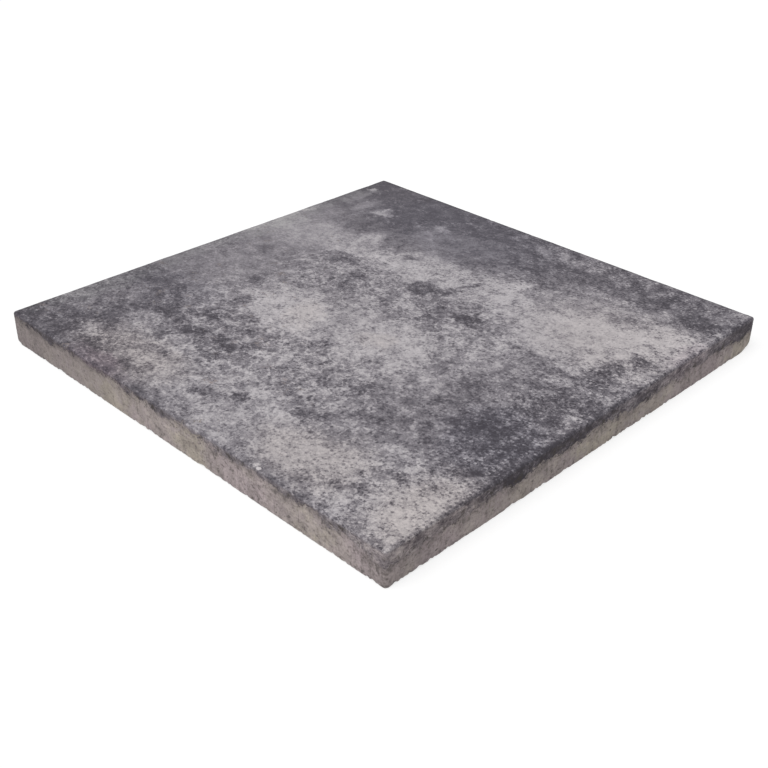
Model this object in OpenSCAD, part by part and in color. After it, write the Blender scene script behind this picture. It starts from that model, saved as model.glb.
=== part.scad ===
// Concrete paving slab, cast in one piece, with softened edges and corners.
// It lies on its underside: X and Y run along its sides and Z points up through the walking face.
// The origin is at the middle of the underside.

/* [Slab] */
// Length along X
slab_length = 600; // [300:10:1000]
// Width along Y
slab_width = 600; // [300:10:1000]
// Thickness from the underside to the walking face
slab_thickness = 40; // [30:1:80]

/* [Edges] */
// Radius of the four upright corners
corner_radius = 4; // [4:0.5:20]
// Radius of the arris round the walking face
top_arris_radius = 2.5; // [0.5:0.5:3.5]
// Radius of the arris round the underside
bottom_arris_radius = 1.5; // [0.5:0.5:3.5]

/* [Hidden] */
// Mean colour of the mixed grey face
face_colour = "#888488";
// An arris follows the upright corner round, so it is never rounder than that corner
top_arris = min(top_arris_radius, corner_radius);
bottom_arris = min(bottom_arris_radius, corner_radius);
// Distance of the upright corners' centres from the middle of the slab
corner_x = slab_length / 2 - corner_radius;
corner_y = slab_width / 2 - corner_radius;
// The side of the middle that each corner lies on, anticlockwise from +X +Y
corner_sides = [[1, 1], [-1, 1], [-1, -1], [1, -1]];
// How far a cut runs past the face that it opens
cut_overrun = slab_thickness / 10;

$fn = 96;

// What a rounded edge takes off a square one, with the square edge at the origin
module arris_cut(radius) {
    difference() {
        translate([-radius, -radius]) square(radius + cut_overrun);
        translate([-radius, -radius]) circle(radius);
    }
}

// Upright section from a line inside the slab out to its side, with both arrises rounded
module edge_section(reach) {
    difference() {
        square([reach, slab_thickness]);
        translate([reach, slab_thickness]) arris_cut(top_arris);
        translate([reach, 0]) mirror([0, 1]) arris_cut(bottom_arris);
    }
}

// Upright section right across the slab, from side to side
module full_section(reach) {
    edge_section(reach);
    mirror([1, 0]) edge_section(reach);
}

// Everything between the front pair of corner centres and the back pair
module middle_run() {
    rotate([90, 0, 0])
        linear_extrude(2 * corner_y, center = true)
            full_section(slab_length / 2);
}

// The strip along one side, between its two corner centres
module side_strip() {
    translate([0, corner_y, 0])
        rotate([90, 0, 90])
            linear_extrude(2 * corner_x, center = true)
                edge_section(corner_radius);
}

// One upright corner: a quarter turn of the same edge section
module corner_post(quarter) {
    translate([corner_sides[quarter].x * corner_x, corner_sides[quarter].y * corner_y, 0])
        rotate(90 * quarter)
            rotate_extrude(angle = 90)
                edge_section(corner_radius);
}

// The whole slab as one solid
module slab() {
    color(face_colour)
        union() {
            middle_run();
            for (turn = [0, 180]) rotate(turn) side_strip();
            for (quarter = [0:3]) corner_post(quarter);
        }
}

slab();
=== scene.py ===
"""Concrete paving slab: the worn, mottled slab and the plain studio that it is shown in."""
import math

import bmesh
import bpy
from bpy.props import FloatProperty, FloatVectorProperty, IntProperty, PointerProperty
from mathutils import Color, Matrix, Vector, noise


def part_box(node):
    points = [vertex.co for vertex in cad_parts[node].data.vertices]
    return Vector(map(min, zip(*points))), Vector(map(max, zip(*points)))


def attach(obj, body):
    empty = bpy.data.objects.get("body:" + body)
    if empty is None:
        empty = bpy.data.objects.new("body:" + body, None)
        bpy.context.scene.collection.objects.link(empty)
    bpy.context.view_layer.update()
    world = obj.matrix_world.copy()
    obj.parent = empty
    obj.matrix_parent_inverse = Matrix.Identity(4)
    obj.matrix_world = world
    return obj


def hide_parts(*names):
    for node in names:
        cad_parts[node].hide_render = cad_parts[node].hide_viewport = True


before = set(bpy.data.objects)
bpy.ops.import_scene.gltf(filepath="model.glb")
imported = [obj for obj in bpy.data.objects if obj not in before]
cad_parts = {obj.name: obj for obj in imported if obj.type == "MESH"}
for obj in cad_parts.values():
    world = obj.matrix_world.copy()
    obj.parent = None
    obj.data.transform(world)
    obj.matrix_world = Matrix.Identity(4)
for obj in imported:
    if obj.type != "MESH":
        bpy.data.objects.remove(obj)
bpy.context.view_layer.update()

bl_info = {
    "name": "Concrete Paving Slab",
    "version": (1, 0, 0),
    "blender": (4, 5, 0),
    "location": "View3D > Sidebar > Slab",
    "description": "Casts a mottled concrete paving slab and sets up a studio round it",
    "category": "Object",
}

SLAB_LOW, SLAB_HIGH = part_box("slab")
HALF_SIDE = SLAB_HIGH.x
THICKNESS = SLAB_HIGH.z - SLAB_LOW.z
BAKE_MAP = "OFBake"

# Rows of the mesh round the rim, and digits that tell its columns apart
ARRIS_STEPS = 4
SIDE_STEPS = 17
FACE_BORDER = 0.0085
RIM_START = 0.0068
UNDERSIDE_BORDER = 0.008
UNDERSIDE_EDGE = 0.018
UNDERSIDE_CELL_RATIO = 2
QUARTER_TURN = math.pi / 2
PLACE_DIGITS = 6

# Noises of the worn edges and of the relief: length of the waves, and a number that tells each one apart
CHIP_WAVE = (0.011, 1)
WEAR_WAVE = (0.035, 2)
BURR_WAVE = (0.0036, 3)
NICK_WAVES = ((0.024, 4), (0.011, 5), (0.0036, 12))
SWELL_WAVE = (0.030, 6)
FACE_PIT_WAVE = (0.009, 7)
STROKE_WAVE = (0.005, 8)
DIP_WAVE = (0.022, 9)
PORE_WAVE = (0.007, 10)
LUMP_WAVE = (0.020, 11)
UNDERSIDE_PIT_WAVE = (0.009, 13)
PATTERN_STEP = Vector((17.3, 5.1, 9.7))

# Levels above which a noise cuts a chip, a pore or a pit, and how upright strokes are stretched
CHIP_LEVEL = 0.35
PORE_LEVEL = 0.45
PIT_LEVEL = 0.40
STROKE_STRETCH_SHARE = 0.2

# Shares that the noises have in the wear of the edges and in the depth of the relief
WEAR_SHARE = 0.3
NICK_SHARES = (0.3, 0.3, 0.5)
LEAST_BURR_SHARE = 0.5
SWELL_SHARE = 0.35
STROKE_SHARE = 0.35
DIP_SHARE = 0.3
PORE_SHARE = 1.5
UNDERSIDE_PIT_SHARE = 2.0

# Bottom corners that were knocked off: side of the slab in X and Y, and share of the deepest one. The spread
# is how far along the edges each one fades out, in times its own depth.
KNOCKED_SHARES = ((1, 1, 1.0), (-1, -1, 0.5), (1, -1, 0.12))
KNOCKED_SPREAD = 2

# Places on the bake map, in shares of its width
MAP_FACE_SHARE = 0.795
MAP_STRIP_SHARE = 0.085
MAP_GAP_SHARE = 0.008

# Levels of a noise that count as its low, middle, high and top values, and a shift to a second noise
NOISE_LOW = 0.35
NOISE_MIDDLE = 0.5
NOISE_HIGH = 0.65
NOISE_TOP = 0.72
ASIDE = (0.5, 0.3, 0.0)

# Noises that push the clouds, spots, curls and dots about: size, and about how far they push at most
CLOUD_SWAY = (0.10, 0.030)
CLOUD_FRAY = (0.022, 0.020)
SPOT_FRAY = (0.018, 0.020)
CURL_FRAY = (0.014, 0.008)
DOT_FRAY = (0.003, 0.0025)
PUSH_DETAIL = 5.0
PUSH_ROUGHNESS = 0.7

# Noises of the face concrete: size, detail and roughness
CRUMB_NOISE = (0.020, 4.0, 0.95)
GRAIN_NOISE = (0.018, 2.0, 0.85)
SPECKLE_NOISE = (0.0020, 2.0, 1.0)
SAND_NOISE = (0.0022, 3.0, 0.7)
VEIN_NOISE = (0.030, 2.0, 0.5)
CURL_NOISE = (0.020, 2.0, 0.5)

# Patches: how ragged the crumbs make them, and the share of their reach over which they fade
CRUMB_GAIN = 0.85
PATCH_RIM_SHARE = 0.65

# Grains and dots of the face concrete: how far they take the tone, how flat they lie, how strong they are on
# the sides, and how far the large ones are evened out between smooth and coarse parts
GRAIN_GAIN = 2.3
SPECKLE_GAIN = 0.22
DARK_DOT_SPACING = 0.0034
DARK_DOT_TONE = -0.50
PALE_DOT_SPACING = 0.0038
PALE_DOT_TONE = 0.42
DOT_WIDTH_SHARE = 0.6
DOT_RIM_SHARE = 0.12
GRAIN_FLATNESS = 1.6
SIDE_GRAIN_SHARE = 0.6
EVENED_SHARE = 0.15

# Veins and curls: width, in parts of their noise, and how far they take the tone
VEIN_WIDTH_SHARE = 0.032
VEIN_TONE_CHANGE = -0.36
CURL_WIDTH_SHARE = 0.050
CURL_TONE_CHANGE = 0.40
CURL_GROUND_CHANGE = -0.16

# Tone, grain, veins and tint where no patch lies, and the ends and stops of the scale from tone to colour
FACE_TONE = 0.5
COARSE_TONE = 0.75
VEIN_TONE = 0.1
EVEN_TINT = 0.5
DARKEST_TONE = -0.6
PALEST_TONE = 1.6
STOP_SHARES = (0.25, 0.5, 0.75)

# The darker arris and sides, partly the face concrete's own darker colour there and partly painted shade.
# The sides pass into the top between the two arris heights.
EDGE_NOISE = (0.030, 3.0, 0.5)
EDGE_FRAY_GAIN = 0.006
EDGE_START = 0.001
EDGE_REACH = 0.0065
ARRIS_HEIGHTS = (0.0360, 0.0392)

# Darkening of the arris and sides, partly their own darker colour and partly painted shade, which is deeper
# on
# the back and right sides that face away from the key light, and height of the border between the two
# concretes:
# first on the front and left sides, then on the back and right ones, and how far, along X plus Y, the first
# passes into the second
EDGE_DARKENING_AND_SHADE = (0.20, 0.40)
BORDER_HEIGHTS = (0.0346, 0.0246)
SLANT_REACH = 0.15

# The ragged border between the two concretes, and the dark blotches along it
BORDER_BLUR = 0.0016
BORDER_SWELL_NOISE = (0.040, 2.0, 0.5)
BORDER_SWELL_GAIN = 0.014
BORDER_FRAY_NOISE = (0.012, 4.0, 0.9)
BORDER_FRAY_GAIN = 0.030
TONGUE_DROP = 0.006
GRIME_NOISE = (0.010, 3.0, 0.7)
GRIME_COVER = 0.85
GRIME_FADE = (0.005, 0.012)

# Noises of the backing concrete: size, detail and roughness
DRIFT_NOISE = (0.040, 4.0, 0.85)
BLOTCH_NOISE = (0.030, 4.0, 0.9)
STROKE_NOISE = (0.006, 3.0, 0.6)
MOTTLE_NOISE = (0.008, 2.0, 0.8)
PORE_NOISE = (0.006, 2.0, 0.5)

# How far these tint and shade the backing concrete, the shade that they vary about, and the shades at its
# far end and under the border
DRIFT_GAIN = 2.8
BLOTCH_SHADE = 0.60
STROKE_SHADE = 0.25
SAND_SHADE = 0.30
MOTTLE_SHADE = 0.45
PORE_SHADE = 0.8
EVEN_SHADE = 0.42
EVEN_CONTRAST = 1.0
FAR_END_SHADE = 0.33
SMUDGE_FADE = (-0.011, -0.001)
SMUDGE_SHADE = 0.25
SPECK_SPACING = 0.0034

# Surface of both concretes
ROUGHNESS = (0.95, 0.82)
SPECULAR_LEVEL = 0.3
GRAIN_RELIEF_SHARE = 0.8
RELIEF_STRENGTH = 0.8
RELIEF_DEPTH = 0.0012

# The floor: gap under the slab, so that the rim of the underside doesn't lie in its plane, reach in half
# sides of the slab, grey that lights the slab, and grey and glow that the camera sees
FLOOR_GAP = 0.0002
FLOOR_REACH_SHARE = 20
FLOOR_BOUNCE = 0.68
FLOOR_GREY = 0.35
FLOOR_GLOW = 0.70

# Clouds on the walking face, painted one over the other. Middle and reach are in shares of half the side,
# the turn is in degrees, and the last number is the shade, from dark near 0 to pale near 1. The tables after
# this one are laid out alike.
CLOUD_SHARES = (
    (-0.45, 0.92, 1.05, 0.30, 0, 0.06),
    (-0.52, 0.89, 0.66, 0.20, 0, -0.04),
    (-0.92, 0.92, 0.16, 0.14, 0, -0.10),
    (0.65, 0.88, 0.50, 0.20, 0, 0.14),
    (0.15, 0.77, 0.45, 0.15, 0, 0.02),
    (0.68, 0.86, 0.27, 0.11, 0, 0.02),
    (-0.92, 0.65, 0.28, 0.25, 0, 0.14),
    (-0.60, 0.65, 0.22, 0.28, 0, -0.08),
    (-0.10, 0.67, 0.42, 0.17, -5, 0.17),
    (0.30, 0.68, 0.17, 0.13, 0, 0.18),
    (-0.85, 0.31, 0.36, 0.24, 0, 0.73),
    (-0.92, 0.51, 0.28, 0.13, 0, 0.42),
    (-0.55, 0.38, 0.12, 0.26, 0, 0.82),
    (-0.20, 0.36, 0.38, 0.25, 0, 0.88),
    (-0.42, 0.53, 0.15, 0.15, 0, 0.22),
    (-0.68, 0.54, 0.18, 0.13, 12, 0.12),
    (0.20, 0.44, 0.28, 0.21, -14, 0.82),
    (0.68, 0.45, 0.52, 0.25, 10, 1.08),
    (0.86, 0.52, 0.20, 0.25, 0, 1.10),
    (0.60, 0.69, 0.30, 0.13, 6, 0.62),
    (0.60, 0.28, 0.30, 0.18, 0, 0.90),
    (0.38, 0.56, 0.13, 0.13, 0, 0.54),
    (-0.40, 0.10, 0.42, 0.20, 0, 0.54),
    (-0.85, 0.00, 0.32, 0.30, 0, 0.42),
    (0.15, 0.10, 0.40, 0.18, 0, 0.63),
    (0.48, 0.06, 0.24, 0.18, 0, 0.72),
    (-0.09, -0.07, 0.16, 0.10, 0, 0.80),
    (0.84, 0.10, 0.38, 0.14, 0, 0.48),
    (0.85, 0.01, 0.28, 0.06, 4, 0.12),
    (-0.87, -0.30, 0.26, 0.20, 0, 0.32),
    (-0.58, -0.24, 0.24, 0.20, 0, 0.57),
    (-0.27, -0.25, 0.36, 0.22, 0, 1.10),
    (0.16, -0.20, 0.34, 0.26, 0, 0.96),
    (-0.06, -0.24, 0.09, 0.22, 0, 0.74),
    (-0.82, -0.49, 0.36, 0.19, -8, 0.04),
    (-0.38, -0.48, 0.34, 0.18, 0, 0.59),
    (-0.03, -0.50, 0.26, 0.18, 0, 0.78),
    (0.30, -0.50, 0.24, 0.15, 0, 0.60),
    (0.80, -0.32, 0.44, 0.40, 0, 0.23),
    (0.85, -0.41, 0.27, 0.25, 0, -0.20),
    (0.90, -0.10, 0.20, 0.14, 0, 0.00),
    (0.65, -0.50, 0.32, 0.16, 0, 0.28),
    (0.46, -0.20, 0.12, 0.28, 0, 0.70),
    (-0.90, -0.70, 0.26, 0.25, 0, 0.34),
    (-0.24, -0.80, 0.47, 0.28, 0, 0.63),
    (-0.72, -0.70, 0.12, 0.26, 0, 0.02),
    (0.30, -0.80, 0.62, 0.30, 0, 0.82),
    (0.87, -0.82, 0.36, 0.28, 0, 0.90),
    (0.52, -0.81, 0.24, 0.14, 0, 0.94),
    (0.10, -0.62, 0.50, 0.12, 0, 0.63),
    (0.50, -0.65, 0.36, 0.10, 0, 0.54),
    (-0.85, -1.00, 0.55, 0.26, 0, -0.04),
    (0.00, -1.00, 0.90, 0.10, 0, 0.44),
    (0.17, -0.98, 0.20, 0.08, 0, 0.68),
    (-0.30, -1.00, 0.42, 0.05, 0, 0.22),
)

# Spots and streaks on the clouds
SPOT_SHARES = (
    (-0.71, 0.70, 0.07, 0.055, 0, 0.46),
    (-0.73, 0.71, 0.025, 0.08, -25, 0.80),
    (-0.70, 0.69, 0.08, 0.025, 12, 0.82),
    (-0.68, 0.70, 0.02, 0.06, 30, 0.74),
    (-0.94, 0.86, 0.03, 0.035, 0, 0.85),
    (-0.985, 0.34, 0.04, 0.30, 0, 0.83),
    (-0.83, 0.71, 0.04, 0.10, 0, 0.50),
    (-0.93, 0.75, 0.04, 0.14, 0, 0.36),
    (-0.40, 0.75, 0.05, 0.05, 0, 0.66),
    (-0.38, 0.65, 0.04, 0.10, 20, 0.44),
    (0.10, 0.92, 0.12, 0.08, 0, 0.41),
    (0.28, 0.90, 0.10, 0.06, 0, 0.40),
    (0.90, 0.93, 0.15, 0.10, 0, 0.28),
    (0.88, 0.79, 0.13, 0.08, 0, -0.14),
    (-0.29, 0.44, 0.08, 0.04, 15, 0.22),
    (0.22, 0.52, 0.06, 0.12, 0, 1.00),
    (0.67, 0.61, 0.08, 0.05, 0, 0.40),
    (0.19, 0.27, 0.12, 0.07, 0, 0.52),
    (0.32, 0.28, 0.06, 0.05, 0, 0.64),
    (0.13, 0.13, 0.08, 0.09, 0, 0.26),
    (0.21, 0.19, 0.17, 0.04, 3, 0.07),
    (0.31, 0.18, 0.06, 0.05, 0, 0.02),
    (-0.04, 0.27, 0.11, 0.07, 10, 0.00),
    (0.06, 0.38, 0.022, 0.11, -20, 0.12),
    (-0.52, 0.22, 0.08, 0.07, 0, 0.20),
    (-0.44, 0.25, 0.10, 0.03, 0, 0.20),
    (-0.32, 0.12, 0.07, 0.10, 0, 0.20),
    (-0.78, 0.06, 0.07, 0.07, 0, 0.14),
    (0.66, 0.14, 0.18, 0.05, -15, 0.34),
    (0.86, 0.25, 0.09, 0.12, 0, 0.07),
    (0.90, 0.39, 0.11, 0.05, 10, -0.05),
    (0.93, 0.28, 0.05, 0.10, 0, 0.90),
    (0.98, 0.52, 0.06, 0.22, 0, 0.82),
    (0.90, 0.15, 0.13, 0.05, 0, 0.24),
    (-0.57, -0.15, 0.06, 0.10, 20, 0.14),
    (0.02, -0.34, 0.07, 0.09, 0, 0.42),
    (0.22, -0.27, 0.08, 0.05, 30, 0.66),
    (0.45, -0.30, 0.08, 0.05, 0, 0.44),
    (0.42, -0.13, 0.05, 0.11, 0, 0.48),
    (-0.47, -0.33, 0.06, 0.10, 0, 0.15),
    (-0.33, -0.39, 0.07, 0.05, 0, 0.24),
    (0.58, -0.22, 0.06, 0.15, 0, 0.12),
    (0.66, -0.12, 0.10, 0.08, 0, 0.38),
    (0.95, -0.10, 0.05, 0.06, 0, 0.38),
    (0.99, -0.17, 0.04, 0.20, 0, 0.06),
    (-0.26, -0.46, 0.07, 0.05, 0, 0.17),
    (-0.26, -0.58, 0.12, 0.05, 0, -0.08),
    (-0.15, -0.53, 0.07, 0.05, 30, 0.14),
    (-0.57, -0.57, 0.12, 0.06, 0, -0.04),
    (-0.40, -0.61, 0.13, 0.06, 8, 0.06),
    (-0.42, -0.46, 0.10, 0.04, 30, 0.08),
    (-0.36, -0.53, 0.10, 0.04, 0, 0.74),
    (-0.22, -0.67, 0.08, 0.04, 0, 0.22),
    (-0.48, -0.70, 0.04, 0.12, -30, 0.26),
    (-0.15, -0.64, 0.06, 0.06, 0, 0.80),
    (0.19, -0.51, 0.08, 0.05, 0, 0.58),
    (0.34, -0.44, 0.10, 0.07, 0, 0.21),
    (0.52, -0.52, 0.10, 0.09, 0, 0.29),
    (0.42, -0.53, 0.04, 0.07, -30, 0.72),
    (0.40, -0.60, 0.03, 0.12, -40, 0.22),
    (0.33, -0.68, 0.12, 0.04, 25, 0.24),
    (0.08, -0.78, 0.05, 0.04, 20, -0.04),
    (0.00, -0.83, 0.11, 0.04, 10, 0.20),
    (0.75, -0.75, 0.08, 0.06, 0, 0.46),
    (0.80, -0.71, 0.05, 0.04, 0, 0.26),
    (0.70, -0.87, 0.09, 0.05, 20, 0.43),
    (-0.55, -0.93, 0.09, 0.08, 0, 0.10),
    (-0.35, -0.91, 0.13, 0.04, 0, 0.22),
    (0.27, -0.75, 0.09, 0.05, 0, 0.92),
    (-0.30, -0.86, 0.16, 0.06, 0, 0.78),
    (-0.62, -0.68, 0.08, 0.08, 0, 0.62),
    (-0.56, -0.72, 0.05, 0.05, 0, 0.70),
    (-0.65, -0.86, 0.10, 0.06, 0, 0.62),
    (0.90, -0.70, 0.13, 0.08, 0, 0.89),
    (0.92, -0.86, 0.09, 0.08, 0, 1.06),
    (0.98, -0.83, 0.06, 0.20, 0, 1.00),
)

# Small pale flecks on the front edge
FLECK_SHARES = (
    (0.425, -0.985, 0.012, 0.014, 0, 2.20),
    (0.446, -0.990, 0.012, 0.009, 0, 2.20),
)

# How strong the grain is, from faint under 0.5 to coarse over 1
COARSE_SHARES = (
    (-1.00, 0.40, 0.65, 1.20, 0, 0.27),
    (-0.40, 0.75, 0.65, 0.40, 0, 0.29),
    (-0.85, 0.80, 0.36, 0.30, 0, 0.22),
    (-0.95, 0.00, 0.25, 0.22, 0, 0.48),
    (1.00, 0.00, 0.40, 1.30, 0, 1.16),
    (0.55, 0.42, 0.38, 0.28, 0, 0.54),
    (0.60, 0.95, 0.60, 0.18, 0, 0.92),
    (0.00, -0.75, 0.90, 0.45, 0, 0.77),
    (0.00, -0.14, 0.45, 0.22, 0, 0.64),
    (0.90, -0.85, 0.45, 0.40, 0, 1.08),
    (-0.60, -0.88, 0.20, 0.14, 0, 1.00),
)

# Where the veins and curls show most
VEIN_SHARES = (
    (-0.10, -0.55, 0.80, 0.40, 0, 1.00),
    (0.20, 0.15, 0.50, 0.25, 0, 0.80),
    (-0.35, 0.10, 0.40, 0.25, 0, 0.70),
)

# Warm patches at 1 and cool ones at 0, over an even 0.5
WARMTH_SHARES = (
    (-0.30, 0.80, 0.70, 0.35, 0, 0.10),
    (0.00, -0.20, 0.70, 0.40, 0, 0.54),
    (0.75, 0.48, 0.50, 0.38, 0, 0.76),
    (0.85, -0.35, 0.25, 0.25, 0, 0.05),
    (-0.75, -0.45, 0.35, 0.20, 0, 0.30),
    (-0.45, -0.88, 0.38, 0.22, 0, 1.00),
    (0.52, -0.83, 0.32, 0.22, 0, 0.90),
    (0.98, -0.80, 0.24, 0.34, 0, 1.00),
    (-0.22, -0.22, 0.16, 0.08, -50, 0.80),
    (0.14, -0.18, 0.10, 0.07, 0, 0.80),
)

# Mauve patches along the edges
MAUVE_SHARES = (
    (-0.45, -1.00, 0.22, 0.10, 0, 0.62),
    (1.00, 0.55, 0.10, 0.20, 0, 0.25),
)

# Faint greenish patches along the left edge
GREEN_SHARES = (
    (-1.00, 0.35, 0.15, 0.90, 0, 0.80),
    (-1.00, -0.60, 0.13, 0.60, 0, 0.80),
)

# Where the painted shade and darkening of the sides is weaker than usual, up to 1, or deeper, below 0
SIDE_SHADE_LIFT_SHARES = (
    (0.42, -1.00, 0.12, 0.08, 0, 0.50),
    (0.74, -1.00, 0.11, 0.08, 0, -0.90),
    (1.00, -0.58, 0.14, 0.14, 0, 0.85),
    (1.00, 0.76, 0.14, 0.12, 0, 0.20),
    (1.00, -0.87, 0.12, 0.15, 0, -0.50),
    (0.95, -1.00, 0.18, 0.10, 0, 0.60),
)

# Tongues of face concrete that reach down the sides
TONGUE_SHARES = (
    (-0.75, -1.00, 0.09, 0.20, 0, 0.70),
    (-0.26, -1.00, 0.07, 0.20, 0, 0.80),
    (-0.06, -1.00, 0.10, 0.20, 0, 0.80),
    (0.28, -1.00, 0.10, 0.20, 0, 0.80),
    (0.60, -1.00, 0.07, 0.20, 0, 0.60),
    (0.76, -1.00, 0.07, 0.20, 0, 0.60),
    (1.00, -0.80, 0.20, 0.14, 0, 0.40),
    (1.00, -0.27, 0.20, 0.12, 0, -0.40),
    (1.00, 0.25, 0.20, 0.16, 0, 0.45),
    (1.00, 0.55, 0.20, 0.20, 0, 0.35),
    (1.00, 0.86, 0.20, 0.18, 0, 0.55),
    (1.00, -1.00, 0.22, 0.25, 0, 0.90),
    (0.98, -1.00, 0.15, 0.08, 0, 1.30),
)

# Sandy stretches of the backing at 1 and pinkish ones at 0, over an even 0.5
DRIFT_SHARES = (
    (-0.92, -1.00, 0.16, 0.25, 0, 0.30),
    (-0.60, -1.00, 0.25, 0.25, 0, 0.48),
    (-0.32, -1.00, 0.12, 0.25, 0, 0.90),
    (0.10, -1.00, 0.12, 0.25, 0, 0.95),
    (0.36, -1.00, 0.24, 0.25, 0, 0.25),
    (0.70, -1.00, 0.15, 0.25, 0, 0.60),
    (0.95, -1.00, 0.16, 0.25, 0, 0.15),
    (1.00, -0.80, 0.25, 0.25, 0, 0.15),
    (1.00, 0.03, 0.25, 0.20, 0, 1.00),
    (1.00, 0.30, 0.25, 0.20, 0, 0.75),
    (1.00, 0.62, 0.25, 0.22, 0, 0.10),
    (1.00, 0.93, 0.25, 0.14, 0, 1.00),
)

# How strongly the backing is mottled, from smooth stretches under 1 to rough ones over 1
MOTTLING_SHARES = (
    (-0.75, -1.00, 0.70, 0.25, 0, 0.58),
    (0.42, -1.00, 0.60, 0.25, 0, 1.22),
)

# Where dark specks lie in the backing
SPECK_SHARES = (
    (0.42, -1.00, 0.14, 0.10, 0, 0.28),
    (0.95, -1.00, 0.20, 0.10, 0, 0.38),
    (1.00, -0.65, 0.10, 0.25, 0, 0.25),
)


def length_property(name, description, default):
    """A length in metres."""
    return FloatProperty(name=name, description=description, default=default, unit="LENGTH")


def angle_property(name, description, degrees):
    """An angle, given in degrees."""
    return FloatProperty(name=name, description=description, default=math.radians(degrees), subtype="ANGLE")


def colour_property(name, description, default):
    """A colour as it shows on a screen."""
    return FloatVectorProperty(
        name=name, description=description, default=default, subtype="COLOR_GAMMA", min=0, max=1)


class SlabShape(bpy.types.PropertyGroup):
    """Sizes of the slab's edges and relief."""

    face_cells: IntProperty(
        name="Face cells", description="Mesh cells across the walking face", default=184, min=8)
    corner_radius: length_property("Corner radius", "Radius of the four upright corners", 0.004)
    top_arris: length_property("Top arris", "Mean radius of the arris round the walking face", 0.0025)
    bottom_arris: length_property("Bottom arris", "Mean radius of the arris round the underside", 0.0013)
    arris_wear: length_property("Arris wear", "How far wear and chips open the top arris", 0.0022)
    nick_height: length_property("Nick height", "Height of the highest nicks in the bottom edge", 0.0045)
    knocked_reach: length_property(
        "Knocked corner", "Reach of the bottom corner that was knocked off most", 0.009)
    face_relief: length_property("Face relief", "Depth of the pits in the walking face", 0.0004)
    side_relief: length_property("Side relief", "Depth of the strokes, dips and pores in the sides", 0.0009)
    underside_relief: length_property("Underside relief", "Depth of the rough cast underside", 0.0009)


class SlabFinish(bpy.types.PropertyGroup):
    """Colours of the two concretes, as they show on a screen."""

    face_darkest: colour_property(
        "Darkest grains", "Darkest grains in the dark clouds", (0.262, 0.248, 0.272))
    face_dark: colour_property("Dark grey", "Grey of the dark clouds", (0.350, 0.335, 0.361))
    face_mid: colour_property("Middle grey", "Middle grey of the face", (0.534, 0.517, 0.539))
    face_pale: colour_property("Pale grey", "Grey of the pale clouds", (0.719, 0.700, 0.713))
    face_palest: colour_property("Palest grains", "Palest grains in the pale clouds", (0.787, 0.767, 0.777))
    edge_tint: colour_property(
        "Edge tint", "Brownish tint of the face concrete on the sides", (0.988, 0.966, 0.958))
    warm_tint: colour_property("Warm tint", "Tint of the sandy patches of the face", (1.0, 0.988, 0.971))
    cool_tint: colour_property("Cool tint", "Tint of the bluish patches of the face", (0.980, 0.986, 1.0))
    mauve_tint: colour_property(
        "Mauve tint", "Tint of the mauve patches along the edges", (1.0, 0.950, 0.985))
    green_tint: colour_property(
        "Green tint", "Tint of the greenish patches along the left edge", (0.988, 1.0, 0.985))
    grime: colour_property("Grime", "Dark blotches and specks on the sides", (0.276, 0.252, 0.234))
    backing: colour_property("Backing", "Taupe of the backing concrete", (0.748, 0.703, 0.686))
    backing_sand: colour_property(
        "Sandy backing", "Yellowish patches of the backing concrete", (0.750, 0.709, 0.661))
    backing_pink: colour_property(
        "Pinkish backing", "Pinkish patches of the backing concrete", (0.741, 0.685, 0.693))
    backing_shade: colour_property(
        "Shaded backing", "Strokes and pores in the backing concrete", (0.450, 0.420, 0.415))


class SlabStage(bpy.types.PropertyGroup):
    """Camera and light of the studio."""

    lens: FloatProperty(
        name="Lens", description="Focal length of the camera", default=53.38, unit="CAMERA")
    azimuth: angle_property("Azimuth", "Turn of the camera round the slab, from straight in front", 44.53)
    elevation: angle_property("Elevation", "Height of the camera above the horizon", 31.02)
    roll: angle_property("Roll", "Tilt of the camera about its own axis", 0.66)
    distance: length_property("Distance", "Distance of the camera from the point that it looks at", 1.244)
    target: FloatVectorProperty(
        name="Target", description="Point on the floor that the camera looks at",
        default=(0.0618, -0.0625, 0.0), subtype="TRANSLATION")
    key_strength: FloatProperty(
        name="Key light", description="Strength of the soft light from above the front",
        default=2.0)
    key_direction: FloatVectorProperty(
        name="Key direction", description="Direction that the soft light comes from",
        default=(0.0, -0.30, 0.56), subtype="DIRECTION")
    key_spread: angle_property("Key spread", "Angle that the soft light fills", 50)
    sky_strength: FloatProperty(
        name="Sky", description="Strength of the even light from all round", default=0.4)


def wave(place, kind):
    """Smooth noise from -1 to 1. Its kind is the length of its waves and a number that tells it apart."""
    length, pattern = kind
    return noise.noise(place / length + pattern * PATTERN_STEP)


def hump(place, kind):
    """The same noise from 0 to 1."""
    return (1 + wave(place, kind)) / 2


def peak(place, kind, level):
    """How far the noise rises above this level."""
    return max(0.0, wave(place, kind) - level)


def rounded(x, y, radius):
    """Where a point of a square-cornered slab goes when its upright corners are round."""
    straight = HALF_SIDE - radius
    over_x = max(abs(x) - straight, 0.0)
    over_y = max(abs(y) - straight, 0.0)
    if over_x and over_y:
        pull = max(over_x, over_y) / math.hypot(over_x, over_y)
        x = math.copysign(straight + over_x * pull, x)
        y = math.copysign(straight + over_y * pull, y)
    return x, y


def rim_wear(place, shape):
    """Radius of the top arris, radius of the bottom arris and height of the nick at a place on the rim."""
    worn = 1 + WEAR_SHARE * wave(place, WEAR_WAVE)
    top = shape.top_arris * worn + shape.arris_wear * peak(place, CHIP_WAVE, CHIP_LEVEL)
    knock = 0.0
    for side_x, side_y, share in KNOCKED_SHARES:
        reach = shape.knocked_reach * share
        corner = Vector((side_x * HALF_SIDE, side_y * HALF_SIDE, 0.0))
        away = (place - corner).length / (KNOCKED_SPREAD * reach)
        knock = max(knock, reach * (1 - away))
    bottom = shape.bottom_arris * (LEAST_BURR_SHARE + hump(place, BURR_WAVE)) + knock
    nick = sum(share * wave(place, kind) for share, kind in zip(NICK_SHARES, NICK_WAVES))
    return top, bottom, shape.nick_height * min(max(nick, 0.0), 1.0)


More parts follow.
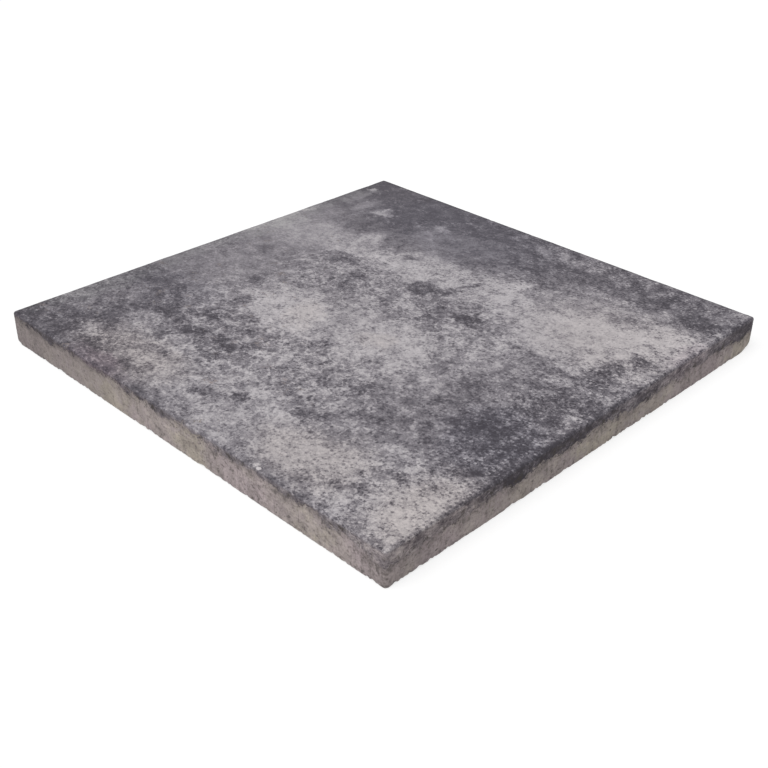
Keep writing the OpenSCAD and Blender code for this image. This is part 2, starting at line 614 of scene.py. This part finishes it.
def rim_rows(top, bottom, nick):
    """Inset and height of each row of the mesh, from the face over the side to the underside."""
    rows = [(RIM_START, THICKNESS)]
    turns = [QUARTER_TURN * step / ARRIS_STEPS for step in range(ARRIS_STEPS + 1)]
    for turn in turns:
        rows.append((top * (1 - math.sin(turn)), THICKNESS - top * (1 - math.cos(turn))))
    upper = THICKNESS - top
    lower = bottom + nick
    for step in range(1, SIDE_STEPS):
        rows.append((0.0, upper + (lower - upper) * step / SIDE_STEPS))
    for turn in turns:
        rows.append((bottom * (1 - math.cos(turn)), nick + bottom * (1 - math.sin(turn))))
    rows.append((bottom + UNDERSIDE_BORDER, 0.0))
    return rows


def face_hollow(place, shape):
    """Depth of the walking face below its highest level at this place."""
    swell = SWELL_SHARE * hump(place, SWELL_WAVE)
    return shape.face_relief * (swell + peak(place, FACE_PIT_WAVE, PIT_LEVEL))


def side_hollow(place, shape):
    """Depth of a side behind its outermost level at this place: upright strokes, dips and pores."""
    upright = Vector((place.x, place.y, place.z * STROKE_STRETCH_SHARE))
    stroke = STROKE_SHARE * hump(upright, STROKE_WAVE)
    dip = DIP_SHARE * hump(place, DIP_WAVE)
    pore = PORE_SHARE * peak(place, PORE_WAVE, PORE_LEVEL)
    return shape.side_relief * (stroke + dip + pore)


def underside_hollow(place, shape):
    """Height of the rough, pitted underside above the bed at this place."""
    pit = UNDERSIDE_PIT_SHARE * peak(place, UNDERSIDE_PIT_WAVE, PIT_LEVEL)
    return shape.underside_relief * (hump(place, LUMP_WAVE) + pit)


def boundary(edges):
    """The edges among these that have a face on one side only."""
    return [edge for edge in edges if edge.is_boundary]


def parts(geometry, kind):
    """The vertices, edges or faces in an operator's result."""
    return [part for part in geometry if isinstance(part, kind)]


def grow_rim(mesh, ring, row_count):
    """Extrudes the ring once for each row. Returns the columns of vertices that lie below each other, and
    the last ring."""
    columns = {}
    for _ in range(row_count):
        grown = bmesh.ops.extrude_edge_only(mesh, edges=ring)["geom"]
        ring = boundary(parts(grown, bmesh.types.BMEdge))
        for vertex in parts(grown, bmesh.types.BMVert):
            columns.setdefault(vertex.co.xy.to_tuple(PLACE_DIGITS), []).append(vertex)
    return columns, ring


def place_column(column, shape):
    """Puts one column of rim vertices where the worn edge has them."""
    share = column[0].co.xy / (HALF_SIDE - FACE_BORDER)
    corner = Vector((*rounded(share.x * HALF_SIDE, share.y * HALF_SIDE, shape.corner_radius), 0.0))
    top, bottom, nick = rim_wear(corner, shape)
    for vertex, (inset, height) in zip(column, rim_rows(top, bottom, nick)):
        inset += side_hollow(Vector((corner.x, corner.y, height)), shape) if inset < top else 0.0
        reach = HALF_SIDE - inset
        x, y = rounded(share.x * reach, share.y * reach, shape.corner_radius)
        vertex.co = (x, y, height)


def lay_out_map(mesh):
    """Lays the faces out on the map that the finish is baked through: the walking face large, the sides as
    strips along two edges of it, and the underside small in the corner between them."""
    layer = mesh.loops.layers.uv.new(BAKE_MAP)
    strip_start = MAP_FACE_SHARE + 2 * MAP_GAP_SHARE
    strip_step = MAP_STRIP_SHARE + MAP_GAP_SHARE
    corner_width = 1 - MAP_GAP_SHARE - strip_start
    upright_limit = math.cos(QUARTER_TURN / 2)
    for face in mesh.faces:
        normal = face.normal
        for loop in face.loops:
            along_x, along_y = ((value / HALF_SIDE + 1) / 2 for value in loop.vert.co.xy)
            across = MAP_GAP_SHARE + along_x * MAP_FACE_SHARE
            back = MAP_GAP_SHARE + along_y * MAP_FACE_SHARE
            up = loop.vert.co.z / THICKNESS * MAP_STRIP_SHARE
            if normal.z > upright_limit:
                place = (across, back)
            elif normal.z < -upright_limit:
                place = (strip_start + along_x * corner_width, strip_start + along_y * corner_width)
            elif abs(normal.x) > abs(normal.y):
                place = (strip_start + strip_step * (normal.x < 0) + up, back)
            else:
                place = (across, strip_start + strip_step * (normal.y > 0) + up)
            loop[layer].uv = place


def lay_underside(mesh, ring, shape):
    """Lays the rough underside and joins it to the last ring of the rim."""
    cells = shape.face_cells // UNDERSIDE_CELL_RATIO
    underside = set(bmesh.ops.create_grid(
        mesh, x_segments=cells, y_segments=cells, size=HALF_SIDE - UNDERSIDE_EDGE,
        matrix=Matrix.Rotation(math.pi, 4, "X"))["verts"])
    for vertex in underside:
        vertex.co.z = underside_hollow(vertex.co, shape)
    inner = [edge for edge in boundary(mesh.edges) if edge.verts[0] in underside]
    bmesh.ops.bridge_loops(mesh, edges=ring + inner)


def put_down(mesh, name):
    """The mesh as an object in the scene."""
    data = bpy.data.meshes.new(name)
    mesh.to_mesh(data)
    mesh.free()
    piece = bpy.data.objects.new(name, data)
    bpy.context.collection.objects.link(piece)
    return piece


def cast_body(shape):
    """The slab's skin: a fine grid for the face, the worn rim grown from it and the rough underside."""
    mesh = bmesh.new()
    bmesh.ops.create_grid(
        mesh, x_segments=shape.face_cells, y_segments=shape.face_cells, size=HALF_SIDE - FACE_BORDER,
        matrix=Matrix.Translation((0, 0, THICKNESS)))
    ring = boundary(mesh.edges)
    split = bmesh.ops.extrude_edge_only(mesh, edges=ring)["geom"]
    ring = boundary(parts(split, bmesh.types.BMEdge))
    bmesh.ops.subdivide_edges(mesh, edges=ring, cuts=1)
    ring = boundary(mesh.edges)
    face_vertices = [vertex for vertex in mesh.verts if not vertex.is_boundary]
    columns = {vertex.co.xy.to_tuple(PLACE_DIGITS): [vertex] for edge in ring for vertex in edge.verts}
    row_count = len(rim_rows(shape.top_arris, shape.bottom_arris, shape.nick_height))
    grown, ring = grow_rim(mesh, ring, row_count - 1)
    for key, column in columns.items():
        place_column(column + grown[key], shape)
    for vertex in face_vertices:
        vertex.co.z -= face_hollow(vertex.co, shape)
    lay_underside(mesh, ring, shape)
    bmesh.ops.recalc_face_normals(mesh, faces=mesh.faces)
    for face in mesh.faces:
        face.smooth = True
    mesh.normal_update()
    lay_out_map(mesh)
    return put_down(mesh, "concrete_slab")


def on_screen(colour):
    """A colour given as it shows on a screen, as a shader takes it."""
    return (*Color(colour).from_srgb_to_scene_linear(), 1.0)


class NodeBench:
    """Adds nodes to one shader tree and wires them up."""

    def __init__(self, tree):
        self.tree = tree

    def add(self, kind, values, **settings):
        """A new node. Each value is wired or typed into the input with that name or number."""
        node = self.tree.nodes.new("ShaderNode" + kind)
        for name, setting in settings.items():
            setattr(node, name, setting)
        for name, value in values.items():
            self.feed(node.inputs[name], value)
        return node

    def feed(self, socket, value):
        """Wires an output into this socket, or types a plain value into it."""
        if isinstance(value, bpy.types.NodeSocket):
            self.tree.links.new(value, socket)
        else:
            socket.default_value = value

    def math(self, operation, *values, clamp=False):
        """The result of one Math node."""
        return self.add("Math", dict(enumerate(values)), operation=operation, use_clamp=clamp).outputs[0]

    def sum(self, *values):
        """All these values added up."""
        total = values[0]
        for value in values[1:]:
            total = self.math("ADD", total, value)
        return total

    def vector(self, operation, *values):
        """The result of one Vector Math node."""
        return self.add("VectorMath", dict(enumerate(values)), operation=operation).outputs[0]

    def noise(self, place, kind, output="Fac"):
        """A noise texture. Its kind is the size of its features, its detail and its roughness."""
        size, detail, roughness = kind
        values = {"Vector": place, "Scale": 1 / size, "Detail": detail, "Roughness": roughness}
        return self.add("TexNoise", values).outputs[output]

    def spread(self, value, low, high, start=0.0, end=1.0, kind="SMOOTHSTEP"):
        """The value taken from low to high onto start to end, and held there outside."""
        values = {"Value": value, "From Min": low, "From Max": high, "To Min": start, "To Max": end}
        return self.add("MapRange", values, interpolation_type=kind).outputs[0]

    def swing(self, value, gain):
        """A noise taken from its middle, this strong."""
        return self.math("MULTIPLY_ADD", value, gain, -NOISE_MIDDLE * gain)

    def blend(self, share, first, second, kind="MIX"):
        """Two colours blended by this share."""
        values = {0: share, 6: first, 7: second}
        return self.add("Mix", values, data_type="RGBA", blend_type=kind).outputs[2]

    def seen(self):
        """1 for what the camera sees, directly, mirrored or through glass, and 0 for light elsewhere."""
        path = self.add("LightPath", {}).outputs
        seen = self.math("ADD", path["Is Camera Ray"], path["Is Glossy Ray"], clamp=True)
        return self.math("ADD", seen, path["Is Transmission Ray"], clamp=True)

    def dots(self, place, spacing):
        """Dots at 1 on a ground of 0, of all radii up to about half their spacing."""
        cells = self.add("TexVoronoi", {"Vector": place, "Scale": 1 / spacing}, feature="F1").outputs
        width = self.add("SeparateXYZ", {"Vector": cells["Color"]}).outputs["X"]
        nearness = self.math("SUBTRACT", self.math("MULTIPLY", width, DOT_WIDTH_SHARE), cells["Distance"])
        return self.spread(nearness, -DOT_RIM_SHARE, DOT_RIM_SHARE)

    def warped(self, place, size, reach):
        """The place, pushed about by noise of this size, at most about this far."""
        push = self.noise(place, (size, PUSH_DETAIL, PUSH_ROUGHNESS), output="Color")
        centred = self.vector("SUBTRACT", push, (NOISE_MIDDLE, NOISE_MIDDLE, NOISE_MIDDLE))
        return self.vector("ADD", place, self.vector("MULTIPLY", centred, (2 * reach, 2 * reach, 0.0)))


def patch_group():
    """Node group of one patch: paints its shade over the tone, fully in the middle and not past its reach.
    The ragged value breaks its border up into crumbs."""
    tree = bpy.data.node_groups.new("Cloud patch", "ShaderNodeTree")
    sockets = {"Place": "Vector", "Ragged": "Float", "Tone": "Float", "Middle": "Vector", "Turn": "Vector",
               "Reach": "Vector", "Shade": "Float"}
    for name, kind in sockets.items():
        tree.interface.new_socket(name, in_out="INPUT", socket_type="NodeSocket" + kind)
    tree.interface.new_socket("Tone", in_out="OUTPUT", socket_type="NodeSocketFloat")
    bench = NodeBench(tree)
    given = tree.nodes.new("NodeGroupInput").outputs
    values = {"Vector": given["Place"], "Location": given["Middle"], "Rotation": given["Turn"],
              "Scale": given["Reach"]}
    own_place = bench.add("Mapping", values, vector_type="TEXTURE").outputs[0]
    nearness = bench.add("TexGradient", {"Vector": own_place}, gradient_type="SPHERICAL").outputs["Fac"]
    broken = bench.math("MULTIPLY_ADD", nearness, given["Ragged"], nearness)
    cover = bench.spread(broken, 0.0, PATCH_RIM_SHARE)
    painted = bench.add("Mix", {0: cover, 2: given["Tone"], 3: given["Shade"]}, data_type="FLOAT").outputs[0]
    bench.feed(tree.nodes.new("NodeGroupOutput").inputs["Tone"], painted)
    return tree


class ConcreteBench(NodeBench):
    """The nodes of the slab's concrete: mottled face concrete over taupe backing concrete."""

    def __init__(self, tree, finish):
        super().__init__(tree)
        self.finish = finish
        self.patch = patch_group()
        self.place = self.add("TexCoord", {}).outputs["Object"]
        settled = (0.0, 0.0, THICKNESS * (1 - GRAIN_FLATNESS))
        self.flat = self.vector("MULTIPLY_ADD", self.place, (1.0, 1.0, GRAIN_FLATNESS), settled)
        self.aside = self.vector("ADD", self.flat, ASIDE)
        axes = self.add("SeparateXYZ", {"Vector": self.place}).outputs
        self.x, self.y, self.z = axes["X"], axes["Y"], axes["Z"]
        self.slant = self.sum(self.x, self.y)
        swayed = self.warped(self.place, *CLOUD_SWAY)
        self.cloud_place = self.warped(swayed, *CLOUD_FRAY)
        self.spot_place = self.warped(self.place, *SPOT_FRAY)
        self.curl_place = self.warped(self.aside, *CURL_FRAY)
        crumbs = self.noise(self.place, CRUMB_NOISE)
        self.ragged = self.spread(crumbs, NOISE_LOW, NOISE_HIGH, -CRUMB_GAIN, CRUMB_GAIN, kind="LINEAR")
        self.grain = self.noise(self.aside, GRAIN_NOISE)
        self.sand = self.noise(self.place, SAND_NOISE)
        self.off_top = self.spread(self.z, *ARRIS_HEIGHTS, 1.0, 0.0)

    def painted(self, place, tone, patches, ragged=None):
        """The tone after these patches have been painted over it, one after the other."""
        for x, y, reach_x, reach_y, turn, shade in patches:
            values = {
                "Place": place,
                "Ragged": self.ragged if ragged is None else ragged,
                "Tone": tone,
                "Middle": (x * HALF_SIDE, y * HALF_SIDE, 0.0),
                "Turn": (0.0, 0.0, math.radians(turn)),
                "Reach": (reach_x * HALF_SIDE, reach_y * HALF_SIDE, 1.0),
                "Shade": shade,
            }
            node = self.tree.nodes.new("ShaderNodeGroup")
            node.node_tree = self.patch
            for name, value in values.items():
                self.feed(node.inputs[name], value)
            tone = node.outputs["Tone"]
        return tone

    def clouds(self):
        """Tone of the face with its clouds, spots and flecks."""
        tone = self.painted(self.cloud_place, FACE_TONE, CLOUD_SHARES)
        tone = self.painted(self.spot_place, tone, SPOT_SHARES)
        return self.painted(self.place, tone, FLECK_SHARES)

    def grains(self):
        """What the sand grains add to the tone: fainter on the smooth parts of the face and on the sides."""
        coarse = self.painted(self.cloud_place, COARSE_TONE, COARSE_SHARES, ragged=0.0)
        speckle = self.noise(self.flat, SPECKLE_NOISE)
        speckle = self.spread(speckle, NOISE_LOW, NOISE_HIGH, -SPECKLE_GAIN, SPECKLE_GAIN)
        frayed = self.warped(self.flat, *DOT_FRAY)
        dark = self.math("MULTIPLY", self.dots(frayed, DARK_DOT_SPACING), DARK_DOT_TONE)
        frayed = self.vector("ADD", frayed, ASIDE)
        pale = self.math("MULTIPLY", self.dots(frayed, PALE_DOT_SPACING), PALE_DOT_TONE)
        fine = self.math("MULTIPLY", self.sum(speckle, dark, pale), coarse)
        fine = self.math("MULTIPLY", fine, self.spread(self.z, *ARRIS_HEIGHTS, SIDE_GRAIN_SHARE, 1.0))
        evened = self.math("MULTIPLY_ADD", coarse, 1 - EVENED_SHARE, COARSE_TONE * EVENED_SHARE)
        return self.sum(fine, self.math("MULTIPLY", self.swing(self.grain, GRAIN_GAIN), evened))

    def veins(self):
        """What the dark veins and the pale curls between them change in the tone."""
        veined = self.painted(self.cloud_place, VEIN_TONE, VEIN_SHARES)
        dark = self.math("ABSOLUTE", self.swing(self.noise(self.spot_place, VEIN_NOISE), 1.0))
        pale = self.math("ABSOLUTE", self.swing(self.noise(self.curl_place, CURL_NOISE), 1.0))
        both = self.sum(self.spread(dark, 0.0, VEIN_WIDTH_SHARE, VEIN_TONE_CHANGE, 0.0),
                        self.spread(pale, 0.0, CURL_WIDTH_SHARE, CURL_TONE_CHANGE, CURL_GROUND_CHANGE))
        return self.math("MULTIPLY", veined, both)

    def edge_nearness(self):
        """From 0 on the open face to 1 on the arris and the sides, with a ragged border."""
        widest = self.math("MAXIMUM", self.math("ABSOLUTE", self.x), self.math("ABSOLUTE", self.y))
        inset = self.math("SUBTRACT", HALF_SIDE, widest)
        inset = self.sum(inset, self.swing(self.noise(self.place, EDGE_NOISE), EDGE_FRAY_GAIN))
        return self.spread(inset, EDGE_START, EDGE_REACH, 1.0, 0.0)

    def grey(self, tone):
        """Colour of the plain face concrete at this tone."""
        finish = self.finish
        ramp = self.add("ValToRGB", {"Fac": self.spread(tone, DARKEST_TONE, PALEST_TONE, kind="LINEAR")})
        stops = ramp.color_ramp.elements
        stops[0].color = on_screen(finish.face_darkest)
        stops[1].color = on_screen(finish.face_palest)
        for share, colour in zip(STOP_SHARES, (finish.face_dark, finish.face_mid, finish.face_pale)):
            stops.new(share).color = on_screen(colour)
        return ramp.outputs["Color"]

    def tinted(self, colour):
        """The colour with its cool, warm, mauve and greenish patches."""
        finish = self.finish
        warmth = self.painted(self.cloud_place, EVEN_TINT, WARMTH_SHARES, ragged=0.0)
        tints = (
            (self.spread(warmth, EVEN_TINT, 0.0, kind="LINEAR"), finish.cool_tint),
            (self.spread(warmth, EVEN_TINT, 1.0, kind="LINEAR"), finish.warm_tint),
            (self.painted(self.cloud_place, 0.0, MAUVE_SHARES, ragged=0.0), finish.mauve_tint),
            (self.painted(self.cloud_place, 0.0, GREEN_SHARES), finish.green_tint),
        )
        for share, tint in tints:
            colour = self.blend(share, colour, on_screen(tint), "MULTIPLY")
        return colour

    def face_colour(self):
        """Colour of the face concrete, on the face and down the sides, with painted shade on the arris and
        sides.
        """
        edge = self.edge_nearness()
        # Painted shade, with the sides' own darker colour: the arris and sides are darkened, more on the
        # back and right sides, and the lift table weakens or deepens it on the sides
        lift = self.math("MULTIPLY", self.painted(self.place, 0.0, SIDE_SHADE_LIFT_SHARES), self.off_top)
        darkening_and_shade = self.spread(self.slant, -SLANT_REACH, SLANT_REACH, *EDGE_DARKENING_AND_SHADE)
        darkening_and_shade = self.math("MULTIPLY", darkening_and_shade, self.math("SUBTRACT", edge, lift))
        tone = self.math("SUBTRACT", self.sum(self.clouds(), self.grains(), self.veins()), darkening_and_shade)
        on_side = self.math("MULTIPLY", edge, self.off_top)
        colour = self.tinted(self.grey(tone))
        return self.blend(on_side, colour, on_screen(self.finish.edge_tint), "MULTIPLY")

    def above_border(self):
        """Height above the ragged border between the two concretes. The border lies lower on one pair of
        sides than on the other, and has tongues."""
        level = self.spread(self.slant, -SLANT_REACH, SLANT_REACH, *BORDER_HEIGHTS)
        tongues = self.math("MULTIPLY", self.painted(self.place, 0.0, TONGUE_SHARES), TONGUE_DROP)
        swells = self.swing(self.noise(self.place, BORDER_SWELL_NOISE), BORDER_SWELL_GAIN)
        fray = self.swing(self.noise(self.aside, BORDER_FRAY_NOISE), BORDER_FRAY_GAIN)
        return self.math("SUBTRACT", self.sum(self.z, tongues, swells, fray), level)

    def grime(self, above):
        """Where dark blotches lie along the border, on the sides only."""
        band = self.math("MULTIPLY", self.spread(above, -BORDER_BLUR, BORDER_BLUR),
                         self.spread(above, *GRIME_FADE, 1.0, 0.0))
        blotch = self.noise(self.place, GRIME_NOISE)
        blotch = self.spread(blotch, NOISE_MIDDLE, NOISE_HIGH, 0.0, GRIME_COVER)
        return self.math("MULTIPLY", self.math("MULTIPLY", band, self.off_top), blotch)

    def backing_shade(self, above):
        """How far the backing concrete is shaded by strokes, sand, mottling, pores and blotches, towards its
        far end and under the border."""
        upright = self.vector("MULTIPLY", self.place, (1.0, 1.0, STROKE_STRETCH_SHARE))
        strokes = self.noise(upright, STROKE_NOISE)
        mottle = self.noise(self.aside, MOTTLE_NOISE)
        blotches = self.noise(self.place, BLOTCH_NOISE)
        pores = self.noise(self.place, PORE_NOISE)
        uneven = self.sum(
            self.spread(strokes, NOISE_MIDDLE, NOISE_TOP, 0.0, STROKE_SHADE),
            self.spread(self.sand, NOISE_MIDDLE, NOISE_TOP, 0.0, SAND_SHADE),
            self.spread(mottle, NOISE_MIDDLE, NOISE_TOP, 0.0, MOTTLE_SHADE),
            self.spread(pores, NOISE_HIGH, NOISE_TOP, 0.0, PORE_SHADE),
            self.spread(blotches, NOISE_LOW, NOISE_HIGH, 0.0, BLOTCH_SHADE, kind="LINEAR"))
        uneven = self.math("SUBTRACT", uneven, EVEN_SHADE)
        mottling = self.painted(self.place, EVEN_CONTRAST, MOTTLING_SHARES, ragged=0.0)
        shade = self.sum(
            self.math("MULTIPLY_ADD", uneven, mottling, EVEN_SHADE),
            self.spread(self.x, -HALF_SIDE, 0.0, FAR_END_SHADE, 0.0),
            self.spread(above, *SMUDGE_FADE, 0.0, SMUDGE_SHADE))
        return self.math("MINIMUM", shade, 1.0)

    def backing_colour(self, above):
        """Colour of the backing concrete: sandy and pinkish by turns, shaded, with dark specks."""
        finish = self.finish
        drift = self.painted(self.place, EVEN_TINT, DRIFT_SHARES)
        drift = self.sum(drift, self.swing(self.noise(self.place, DRIFT_NOISE), DRIFT_GAIN))
        sandy = self.spread(drift, EVEN_TINT, 1.0, kind="LINEAR")
        pinkish = self.spread(drift, EVEN_TINT, 0.0, kind="LINEAR")
        colour = self.blend(sandy, on_screen(finish.backing), on_screen(finish.backing_sand))
        colour = self.blend(pinkish, colour, on_screen(finish.backing_pink))
        colour = self.blend(self.backing_shade(above), colour, on_screen(finish.backing_shade))
        specks = self.math("MULTIPLY", self.dots(self.place, SPECK_SPACING),
                           self.painted(self.place, 0.0, SPECK_SHARES))
        return self.blend(specks, colour, on_screen(finish.grime))

    def relief(self):
        """Normal of the sandy surface."""
        height = self.math("MULTIPLY_ADD", self.grain, GRAIN_RELIEF_SHARE, self.sand)
        values = {"Strength": RELIEF_STRENGTH, "Distance": RELIEF_DEPTH, "Height": height}
        return self.add("Bump", values).outputs["Normal"]


def mottled_concrete(finish):
    """The mottled face concrete over the taupe backing concrete, told apart by height."""
    material = bpy.data.materials.new("Mottled concrete")
    material.use_nodes = True
    shader = material.node_tree.nodes["Principled BSDF"]
    bench = ConcreteBench(material.node_tree, finish)
    above = bench.above_border()
    face = bench.blend(bench.grime(above), bench.face_colour(), on_screen(finish.grime))
    cover = bench.spread(above, -BORDER_BLUR, BORDER_BLUR)
    bench.feed(shader.inputs["Base Color"], bench.blend(cover, bench.backing_colour(above), face))
    bench.feed(shader.inputs["Roughness"], bench.spread(bench.grain, NOISE_LOW, NOISE_HIGH, *ROUGHNESS))
    bench.feed(shader.inputs["Normal"], bench.relief())
    bench.feed(shader.inputs["Specular IOR Level"], SPECULAR_LEVEL)
    return material


def floor_material():
    """Matt white floor that shows as the white ground of the picture and still takes the slab's shadow."""
    material = bpy.data.materials.new("White floor")
    material.use_nodes = True
    tree = material.node_tree
    tree.nodes.clear()
    bench = NodeBench(tree)
    seen = bench.seen()
    grey = bench.spread(seen, 0.0, 1.0, FLOOR_BOUNCE, FLOOR_GREY, kind="LINEAR")
    matt = bench.add("BsdfDiffuse", {"Color": grey}).outputs[0]
    lift = bench.add("Emission", {"Strength": bench.math("MULTIPLY", seen, FLOOR_GLOW)}).outputs[0]
    both = bench.add("AddShader", {0: matt, 1: lift}).outputs[0]
    bench.add("OutputMaterial", {"Surface": both})
    return material


def lay_floor():
    """A wide floor under the slab."""
    mesh = bmesh.new()
    bmesh.ops.create_grid(mesh, x_segments=1, y_segments=1, size=FLOOR_REACH_SHARE * HALF_SIDE,
                          matrix=Matrix.Translation((0, 0, -FLOOR_GAP)))
    floor = put_down(mesh, "studio_floor")
    floor.data.materials.append(floor_material())


def hang_sky(strength):
    """Even light from all round, which the camera sees as white."""
    world = bpy.data.worlds.new("Studio sky")
    bpy.context.scene.world = world
    world.use_nodes = True
    tree = world.node_tree
    bench = NodeBench(tree)
    level = bench.spread(bench.seen(), 0.0, 1.0, strength, 1.0, kind="LINEAR")
    sky = tree.nodes["Background"]
    sky.inputs["Color"].default_value = (1.0, 1.0, 1.0, 1.0)
    bench.feed(sky.inputs["Strength"], level)


def hang_key(stage):
    """One soft light, even over the whole slab."""
    data = bpy.data.lights.new("Key light", "SUN")
    data.energy = stage.key_strength
    data.angle = stage.key_spread
    lamp = bpy.data.objects.new("Key light", data)
    lamp.rotation_euler = Vector(stage.key_direction).to_track_quat("Z", "Y").to_euler()
    bpy.context.collection.objects.link(lamp)


def place_camera(stage):
    """The camera at the photograph's viewing angle."""
    around, above, roll = stage.azimuth, stage.elevation, stage.roll
    back = Vector((math.sin(around) * math.cos(above), -math.cos(around) * math.cos(above), math.sin(above)))
    right = Vector((math.cos(around), math.sin(around), 0.0))
    up = back.cross(right)
    level = Matrix((right, up, back)).transposed().to_4x4()
    data = bpy.data.cameras.new("Camera")
    data.lens = stage.lens
    camera = bpy.data.objects.new("Camera", data)
    place = Vector(stage.target) + back * stage.distance
    camera.matrix_world = Matrix.Translation(place) @ level @ Matrix.Rotation(roll, 4, "Z")
    bpy.context.collection.objects.link(camera)
    bpy.context.scene.camera = camera


class SLAB_OT_stage(bpy.types.Operator):
    """Set up the floor, the light and the camera"""

    bl_idname = "slab.stage"
    bl_label = "Set Up Studio"
    bl_options = {"REGISTER", "UNDO"}

    def execute(self, context):
        stage = context.scene.slab_stage
        context.scene.view_settings.view_transform = "Standard"
        place_camera(stage)
        lay_floor()
        hang_sky(stage.sky_strength)
        hang_key(stage)
        return {"FINISHED"}


class SLAB_OT_cast(bpy.types.Operator):
    """Cast the slab with its worn edges and its mottled concrete"""

    bl_idname = "slab.cast"
    bl_label = "Cast Slab"
    bl_options = {"REGISTER", "UNDO"}

    def execute(self, context):
        piece = cast_body(context.scene.slab_shape)
        piece.data.materials.append(mottled_concrete(context.scene.slab_finish))
        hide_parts("slab")
        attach(piece, "root")
        return {"FINISHED"}


class SLAB_PT_panel(bpy.types.Panel):
    """Sizes, colours and studio of the slab"""

    bl_idname = "SLAB_PT_panel"
    bl_label = "Concrete Paving Slab"
    bl_space_type = "VIEW_3D"
    bl_region_type = "UI"
    bl_category = "Slab"

    def draw(self, context):
        scene = context.scene
        groups = {"Shape": scene.slab_shape, "Finish": scene.slab_finish, "Studio": scene.slab_stage}
        for title, group in groups.items():
            box = self.layout.box()
            box.label(text=title)
            for name in group.__annotations__:
                box.prop(group, name)
        self.layout.operator(SLAB_OT_stage.bl_idname)
        self.layout.operator(SLAB_OT_cast.bl_idname)


CLASSES = (SlabShape, SlabFinish, SlabStage, SLAB_OT_stage, SLAB_OT_cast, SLAB_PT_panel)


def register():
    for cls in CLASSES:
        bpy.utils.register_class(cls)
    bpy.types.Scene.slab_shape = PointerProperty(type=SlabShape)
    bpy.types.Scene.slab_finish = PointerProperty(type=SlabFinish)
    bpy.types.Scene.slab_stage = PointerProperty(type=SlabStage)


def unregister():
    del bpy.types.Scene.slab_stage
    del bpy.types.Scene.slab_finish
    del bpy.types.Scene.slab_shape
    for cls in reversed(CLASSES):
        bpy.utils.unregister_class(cls)


def main():
    """Builds the studio and the slab."""
    register()
    bpy.ops.slab.stage()
    bpy.ops.slab.cast()


if __name__ == "__main__":
    main()
